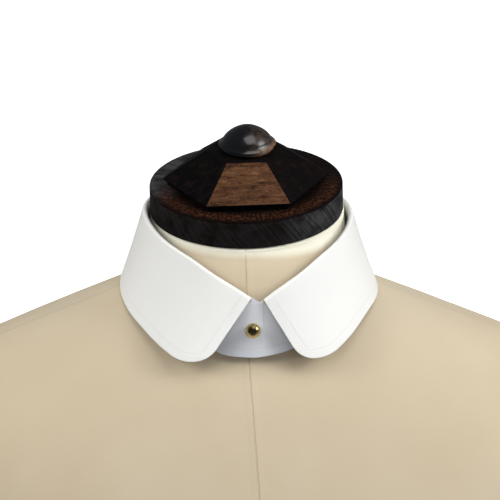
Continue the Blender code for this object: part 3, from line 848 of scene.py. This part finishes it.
def cover_finish(colours):
    """Cream cotton cover of the form, with its seams drawn in and slightly browned, and a painted highlight
    along the rolled edge under the cap, wider towards the right.
    """
    finish, tree, shader = new_finish("cream_cotton")
    place = node(tree, "TexCoord").outputs["Object"]
    x, y, z = node(tree, "SeparateXYZ", {0: place}).outputs
    skin = node(tree, "CombineXYZ", (x, times_plus(tree, y, 0.6, z), 0.0)).outputs[0]
    weave = use_group(tree, "weave", Vector=skin, Pitch=COVER_PITCH)
    wear = use_group(tree, "wear", Vector=place, Scale=9.0)
    wave = times(tree, noise(tree, place, 30.0, 2.0), 0.0012)
    lean = times(tree, step_up(tree, z, 0.30, 0.42), SEAM_LEAN)
    front_back = math(tree, "ABSOLUTE", plus(tree, minus(tree, x, lean), wave))
    sides = math(tree, "ABSOLUTE", plus(tree, y, wave))
    below_neck = step_up(tree, z, 0.428, 0.422)
    off_seam = math(tree, "MINIMUM", front_back, times_plus(tree, minus(tree, 1.0, below_neck), 1.0, sides))
    seam = step_up(tree, off_seam, 0.0007, 0.0001)
    swell = step_up(tree, off_seam, 0.0045, 0.0008)
    height = times_plus(tree, weave.outputs["Height"], 0.05, times(tree, swell, 0.25))
    height = times_plus(tree, seam, -0.45, height)
    height = times_plus(tree, noise(tree, place, 42.0, 3.0), 0.5, height)
    bump(tree, shader, height, 0.001, 0.7)
    base = colour(colours.cover)
    aged = colour([level * share for level, share in zip(colours.cover, AGED_COVER)])
    brown = times_plus(tree, seam, 0.6, times(tree, wear.outputs["Patch"], 0.55))
    brown = times_plus(tree, weave.outputs["Slub"], 0.3, brown)
    cap = cap_frame()
    down = Vector(cap.col[2][:3])
    depth = node(tree, "VectorMath", {0: place, 1: down}, operation="DOT_PRODUCT").outputs["Value"]
    below_cap = minus(tree, cap.translation.dot(down) - DISC_THICKNESS, depth)
    # Painted highlight on the cover's rolled edge just under the cap, wider towards the right
    below_cap = times_plus(tree, math(tree, "MAXIMUM", x, 0.0), -0.08, below_cap)
    painted_edge_highlight = step_up(tree, below_cap, 0.0055, 0.0015)
    tint = blend(tree, painted_edge_highlight, blend(tree, brown, base, aged), colour(PAINTED_EDGE_HIGHLIGHT))
    tree.links.new(tint, shader.inputs["Base Color"])
    tree.links.new(times_plus(tree, wear.outputs["Patch"], 0.1, 0.78), shader.inputs["Roughness"])
    shader.inputs["Specular IOR Level"].default_value = 0.25
    shader.inputs["Sheen Weight"].default_value = 0.1
    return finish


def floor_finish(glow):
    """Plain white floor, which lights the things on it less than it shows."""
    finish, tree, shader = new_finish("floor_white")
    seen = node(tree, "LightPath").outputs["Is Camera Ray"]
    place = node(tree, "TexCoord").outputs["Object"]
    cloud = noise(tree, place, 1.5, 2.0)
    white = blend(tree, cloud, colour(WHITE, 0.88), colour(WHITE, 0.90))
    tree.links.new(blend(tree, seen, colour(FLOOR_BOUNCE), white), shader.inputs["Base Color"])
    shader.inputs["Emission Color"].default_value = colour(WHITE)
    tree.links.new(times(tree, seen, glow), shader.inputs["Emission Strength"])
    shader.inputs["Roughness"].default_value = 0.95
    shader.inputs["Specular IOR Level"].default_value = 0.0
    return finish


class CollarSizes(bpy.types.PropertyGroup):
    """Fineness and small sizes of the cloth."""

    cloth: FloatProperty(
        name="Cloth", description="Thickness of the starched cloth", default=0.00112, unit="LENGTH"
    )
    edge: FloatProperty(name="Edge", description="Roundness of a turned edge", default=0.0004, unit="LENGTH")
    step: FloatProperty(name="Step", description="Step along the cloth", default=0.0014, unit="LENGTH")
    pitch: FloatProperty(
        name="Pitch", description="From one stitch to the next", default=0.0023, unit="LENGTH"
    )


class CollarColours(bpy.types.PropertyGroup):
    """Colours of the finishes."""

    cotton: FloatVectorProperty(
        name="Cotton", description="White starched cotton", default=(0.875, 0.87, 0.845), subtype="COLOR"
    )
    # The band's greyer, bluer cotton is the white cotton in painted shade, where the leaves shade it
    band: FloatVectorProperty(
        name="Band", description="Greyer cotton of the band", default=(0.71, 0.725, 0.765), subtype="COLOR"
    )
    cover: FloatVectorProperty(
        name="Cover", description="Cream cotton of the form", default=(0.62, 0.53, 0.39), subtype="COLOR"
    )
    gilt: FloatVectorProperty(
        name="Gilt", description="Gilt brass", default=(0.80, 0.63, 0.28), subtype="COLOR"
    )
    wood: FloatVectorProperty(
        name="Wood", description="Dark oiled wood", default=(0.0098, 0.0062, 0.0052), subtype="COLOR"
    )
    # A lit copy of the wood, painted as light on the front side of the pyramid
    painted_lit_wood: FloatVectorProperty(
        name="Worn wood", description="Wood rubbed lighter", default=(0.135, 0.062, 0.031), subtype="COLOR"
    )


class COLLAR_OT_finishes(bpy.types.Operator):
    """Make the shared groups and the finishes"""

    bl_idname = "collar.finishes"
    bl_label = "Finishes"

    def execute(self, context):
        colours = context.scene.collar_colours
        weave_group()
        grain_group()
        wear_group()
        cotton_finish("starched_cotton", colours.cotton)
        # The band and its stitches get the cotton in painted shade
        cotton_finish("band_cotton", colours.band)
        thread_finish("cotton_thread", colours.cotton)
        thread_finish("band_thread", colours.band)
        gilt_finish(colours)
        wood_finish("wood_disc", colours, DISC_WOOD, disc_marks)
        wood_finish("wood_pyramid", colours, PYRAMID_WOOD, pyramid_marks)
        wood_finish("wood_knob", colours, KNOB_WOOD, knob_marks)
        cover_finish(colours)
        return {"FINISHED"}


class COLLAR_OT_leaf(bpy.types.Operator):
    """Build the leaf and its edge stitching"""

    bl_idname = "collar.leaf"
    bl_label = "Leaf"

    def execute(self, context):
        sizes = context.scene.collar_sizes
        ends = (LEFT_CORNER_TURN, RIGHT_CORNER_TURN - 360.0)
        run, taken, to_end = strip(*ends, POINT_RADIUS, sizes.step, CORNER_STEPS)
        form = LeafForm(run)
        rows = [form.seam] + [form.rolled(share) for share in np.arange(ROLL_ROWS) / ROLL_ROWS]
        depth = form.depth - taken
        shares = np.linspace(0.0, 1.0, FALL_ROWS)
        rows += [form.top + form.fall * depth[:, None] * share for share in shares]
        near_low = [np.minimum(to_end, depth * (1.0 - share)) for share in shares]
        rim = np.stack([to_end] * (1 + ROLL_ROWS) + near_low, 1)
        finish = bpy.data.materials["starched_cotton"]
        leaf = cloth_piece("leaf_cloth", np.stack(rows, 1), rim, finish, sizes.cloth, sizes.edge)
        finish_piece(leaf, "white_cotton", "collar_leaf")
        self.stitches(run, form, to_end, sizes)
        return {"FINISHED"}

    def stitches(self, run, form, to_end, sizes):
        """One row round the free edges, from the fold at one end to the fold at the other."""
        outward = np.cross(np.gradient(form.top, axis=0), form.fall)
        outward /= np.linalg.norm(outward, axis=1)[:, None]
        outward *= np.sign((outward * form.outward).sum(1))[:, None]
        inner_radius = POINT_RADIUS - STITCH_INSET
        reach = np.clip(POINT_RADIUS - to_end, 0.0, inner_radius)
        drop = STITCH_INSET + inner_radius - np.sqrt(inner_radius**2 - reach**2)
        kept = to_end >= STITCH_INSET
        first, last = np.flatnonzero(kept)[[0, -1]]
        line = []
        for i, shares in ((first, np.linspace(0.04, 1.0, 20)[:-1]), (last, np.linspace(1.0, 0.04, 20)[1:])):
            depth = form.depth[i] - POINT_RADIUS
            line.append([(form.top[i] + form.fall[i] * depth * share, outward[i]) for share in shares])
        lower = [
            (form.top[i] + form.fall[i] * (form.depth[i] - drop[i]), outward[i]) for i in np.flatnonzero(kept)
        ]
        points, directions = (np.array(part) for part in zip(*(line[0] + lower + line[1])))
        shape = bmesh.new()
        lifted = points + directions * sizes.cloth / 2
        stitch_along(shape, lifted, directions, sizes.pitch, STITCH_LENGTH, STITCH_WIDTH, STITCH_HEIGHT)
        piece = make_piece("leaf_stitches", shape, bpy.data.materials["cotton_thread"], 60.0)
        finish_piece(piece, "white_cotton")


class COLLAR_OT_band(bpy.types.Operator):
    """Build the band with its holes and stitching"""

    bl_idname = "collar.band"
    bl_label = "Band"

    def execute(self, context):
        sizes = context.scene.collar_sizes
        past = np.array((0.0, NOTCH - NOTCH_SLANT, NOTCH))
        notches = np.concatenate((LEFT_CORNER_TURN + past, RIGHT_CORNER_TURN - 360.0 - past))
        ends = (INNER_END_TURN, OUTER_END_TURN - 360.0)
        run, taken, to_end = strip(*ends, END_RADIUS, sizes.step, END_STEPS, notches)
        top_height, bottom_height = band_edges(run, taken)
        inner, outward, _ = neck_oval(run)
        inner = inner + outward * lap(run)[:, None]
        top = inner + UP * top_height[:, None]
        bottom = inner + outward * BAND_FLARE + UP * bottom_height[:, None]
        shares = np.linspace(0.0, 1.0, BAND_ROWS)
        rows = [top + (bottom - top) * share for share in shares]
        deep = np.linalg.norm(bottom - top, axis=1)
        rim = np.stack([np.minimum(to_end, deep * (1.0 - share)) for share in shares], 1)
        cutters = (
            hole_cutter("front_hole", band_place(STUD_TURN, STUD_HEIGHT, 0.0), *FRONT_HOLE),
            hole_cutter("back_hole", band_place(-180.0, BACK_HOLE_HEIGHT, 0.0), *BACK_HOLE),
        )
        finish = bpy.data.materials["band_cotton"]
        band = cloth_piece("band_cloth", np.stack(rows, 1), rim, finish, sizes.cloth, sizes.edge, cutters)
        finish_piece(band, "white_cotton", "collar_band")
        shape = bmesh.new()
        kept = to_end > STITCH_INSET
        up_edge = (top - bottom) / deep[:, None]
        row = (bottom + up_edge * STITCH_INSET + outward * sizes.cloth / 2)[kept]
        stitch_along(shape, row, outward[kept], sizes.pitch, STITCH_LENGTH, STITCH_WIDTH, STITCH_HEIGHT)
        worked_hole(shape, band_place(STUD_TURN, STUD_HEIGHT, LAP_OFFSET + sizes.cloth / 2), FRONT_HOLE)
        worked_hole(shape, band_place(-180.0, BACK_HOLE_HEIGHT, sizes.cloth / 2), BACK_HOLE)
        piece = make_piece("band_stitches", shape, bpy.data.materials["band_thread"], 60.0)
        finish_piece(piece, "white_cotton")
        return {"FINISHED"}


class COLLAR_OT_stud(bpy.types.Operator):
    """Build the stud"""

    bl_idname = "collar.stud"
    bl_label = "Stud"

    def execute(self, context):
        through = CLOTH + 2 * LAP_OFFSET
        plate_top = -through - PLATE_GAP
        plate_bottom = plate_top - PLATE_THICKNESS
        ball = CLEARANCE + BALL_RADIUS
        start = pi - atan2(POST_RADIUS, sqrt(BALL_RADIUS**2 - POST_RADIUS**2))
        profile = [(0.0, plate_bottom), (PLATE_RADIUS, plate_bottom)]
        profile += [(PLATE_RADIUS, plate_top), (POST_RADIUS, plate_top)]
        for angle in np.linspace(start, 0.0, ARC_STEPS):
            profile.append((BALL_RADIUS * sin(angle), ball + BALL_RADIUS * cos(angle)))
        profile[-1] = (0.0, ball + BALL_RADIUS)
        place = band_place(STUD_TURN, STUD_HEIGHT, LAP_OFFSET + CLOTH / 2)
        gilt = bpy.data.materials["rubbed_gilt"]
        stud = turned("stud_gilt", profile, gilt, STUD_STEPS, place, edges=SMALL_EDGE)
        finish_piece(stud, "gilt_brass", "collar_stud")
        return {"FINISHED"}


class COLLAR_OT_cap(bpy.types.Operator):
    """Build the neck cap"""

    bl_idname = "collar.cap"
    bl_label = "Neck cap"

    def execute(self, context):
        place = cap_frame()
        disc = [(0.0, -DISC_THICKNESS), (DISC_RADIUS, -DISC_THICKNESS), (DISC_RADIUS, 0.0), (0.0, 0.0)]
        wood = bpy.data.materials["wood_disc"]
        piece = turned("cap_disc", disc, wood, DISC_STEPS, place, edges=DISC_EDGE)
        finish_piece(piece, "dark_wood", "neck_cap_disc")
        pyramid = (
            (0.0, CLEARANCE),
            (PLINTH_RADIUS, CLEARANCE),
            (PLINTH_RADIUS, PLINTH_HEIGHT),
            (PYRAMID_RADIUS, PLINTH_HEIGHT),
            (PYRAMID_RADIUS, PLINTH_HEIGHT + PYRAMID_LIP),
            (PYRAMID_TOP_RADIUS, PYRAMID_HEIGHT),
            (0.0, PYRAMID_HEIGHT),
        )
        turn = place @ Matrix.Rotation(radians(PYRAMID_TURN), 4, "Z")
        wood = bpy.data.materials["wood_pyramid"]
        piece = turned(
            "cap_pyramid", pyramid, wood, PYRAMID_SIDES, turn,
            edges=SMALL_EDGE, smooth_angle=20.0, painted_sides=SIDE_PAINTED_LIGHT,
        )
        finish_piece(piece, "dark_wood", "neck_cap_pyramid")
        foot = PYRAMID_HEIGHT + CLEARANCE
        knob = [(0.0, foot), (BEAD_RADIUS - BEAD_HALF_HEIGHT, foot)]
        for angle in np.linspace(-pi / 3, pi / 3, 9):
            reach = BEAD_RADIUS - BEAD_HALF_HEIGHT * (1.0 - cos(angle))
            knob.append((reach, foot + BEAD_HALF_HEIGHT * (1.0 + sin(angle))))
        groove = foot + 2 * BEAD_HALF_HEIGHT
        knob += [(GROOVE_RADIUS, groove), (KNOB_RADIUS - KNOB_LIP, groove), (KNOB_RADIUS, groove + KNOB_LIP)]
        for angle in np.linspace(0.0, pi / 2, ARC_STEPS):
            reach = DOME_RADIUS * max(cos(angle), 0.0) ** (2 / DOME_FULLNESS)
            knob.append((reach, groove + DOME_RISE + DOME_HEIGHT * sin(angle) ** (2 / DOME_FULLNESS)))
        knob[-1] = (0.0, groove + DOME_RISE + DOME_HEIGHT)
        side = place @ Matrix.Translation((KNOB_SIDE, 0.0, 0.0))
        wood = bpy.data.materials["wood_knob"]
        piece = turned("cap_knob", knob, wood, KNOB_STEPS, side, smooth_angle=50.0)
        finish_piece(piece, "dark_wood", "neck_cap_knob")
        return {"FINISHED"}


class COLLAR_OT_form(bpy.types.Operator):
    """Build the dress form"""

    bl_idname = "collar.form"
    bl_label = "Dress form"

    def execute(self, context):
        shape = bmesh.new()
        shape.from_mesh(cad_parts["dress_form"].data)
        bmesh.ops.remove_doubles(shape, verts=shape.verts, dist=1e-5)
        bmesh.ops.join_triangles(
            shape, faces=shape.faces, cmp_seam=False, cmp_sharp=False, cmp_uvs=False, cmp_vcols=False,
            cmp_materials=False, angle_face_threshold=radians(40.0), angle_shape_threshold=radians(60.0),
        )
        form = make_piece("form_cover", shape, bpy.data.materials["cream_cotton"], 60.0)
        finish_piece(form, "cream_cover", "dress_form")
        return {"FINISHED"}


class COLLAR_OT_stage(bpy.types.Operator):
    """Build the floor, the lights and the camera"""

    bl_idname = "collar.stage"
    bl_label = "Stage"

    def execute(self, context):
        scene = context.scene
        shape = bmesh.new()
        bmesh.ops.create_grid(shape, x_segments=2, y_segments=2, size=FLOOR_SIZE)
        make_piece("floor", shape, floor_finish(FLOOR_GLOW))
        world = bpy.data.worlds.new("studio")
        scene.world = world
        world.use_nodes = True
        tree = world.node_tree
        background = tree.nodes["Background"]
        seen = node(tree, "LightPath").outputs["Is Camera Ray"]
        lit = colour(WORLD_TINT, WORLD_STRENGTH)
        tree.links.new(blend(tree, seen, lit, colour(WHITE)), background.inputs["Color"])
        for name, place, size, power, tint in LIGHTS:
            self.softbox(name, place, size, power, tint)
        self.camera(scene)
        scene.view_settings.view_transform = "Standard"
        return {"FINISHED"}

    def softbox(self, name, place, size, power, tint):
        light = bpy.data.lights.new(name, "AREA")
        light.size = size
        light.energy = power
        light.color = tint
        lamp = bpy.data.objects.new(name, light)
        lamp.visible_glossy = name in SEEN_IN_GLOSS
        lamp.location = place
        aim = Vector((0.0, 0.0, COLLAR_HEIGHT)) - Vector(place)
        lamp.rotation_euler = aim.to_track_quat("-Z", "Y").to_euler()
        bpy.context.scene.collection.objects.link(lamp)

    def camera(self, scene):
        azimuth = radians(CAMERA_TURN)
        elevation = radians(CAMERA_RISE)
        back = Vector((sin(azimuth) * cos(elevation), -cos(azimuth) * cos(elevation), sin(elevation)))
        right = Vector((cos(azimuth), sin(azimuth), 0.0))
        up = back.cross(right)
        aim = Vector((0.0, 0.0, COLLAR_HEIGHT)) + right * AIM_RIGHT + up * AIM_UP
        axes = Matrix((right, up, back)).transposed().to_4x4()
        lens = bpy.data.cameras.new("camera")
        lens.lens = LENS
        lens.sensor_width = SENSOR
        camera = bpy.data.objects.new("camera", lens)
        camera.matrix_world = Matrix.Translation(aim + back * CAMERA_DISTANCE) @ axes
        scene.collection.objects.link(camera)
        scene.camera = camera


OPERATORS = (
    COLLAR_OT_finishes, COLLAR_OT_leaf, COLLAR_OT_band, COLLAR_OT_stud, COLLAR_OT_cap, COLLAR_OT_form,
    COLLAR_OT_stage,
)


class COLLAR_PT_panel(bpy.types.Panel):
    """Sizes, colours and pieces of the collar"""

    bl_label = "Collar"
    bl_idname = "COLLAR_PT_panel"
    bl_space_type = "VIEW_3D"
    bl_region_type = "UI"
    bl_category = "Collar"

    def draw(self, context):
        for group in (context.scene.collar_sizes, context.scene.collar_colours):
            for name in group.__annotations__:
                self.layout.prop(group, name)
        for operator in OPERATORS:
            self.layout.operator(operator.bl_idname)


CLASSES = (CollarSizes, CollarColours, *OPERATORS, COLLAR_PT_panel)


def register():
    for cls in CLASSES:
        bpy.utils.register_class(cls)
    bpy.types.Scene.collar_sizes = PointerProperty(type=CollarSizes)
    bpy.types.Scene.collar_colours = PointerProperty(type=CollarColours)


def unregister():
    del bpy.types.Scene.collar_colours
    del bpy.types.Scene.collar_sizes
    for cls in reversed(CLASSES):
        bpy.utils.unregister_class(cls)


def main():
    register()
    bpy.ops.collar.finishes()
    bpy.ops.collar.leaf()
    bpy.ops.collar.band()
    bpy.ops.collar.stud()
    bpy.ops.collar.cap()
    bpy.ops.collar.form()
    bpy.ops.collar.stage()


if __name__ == "__main__":
    main()
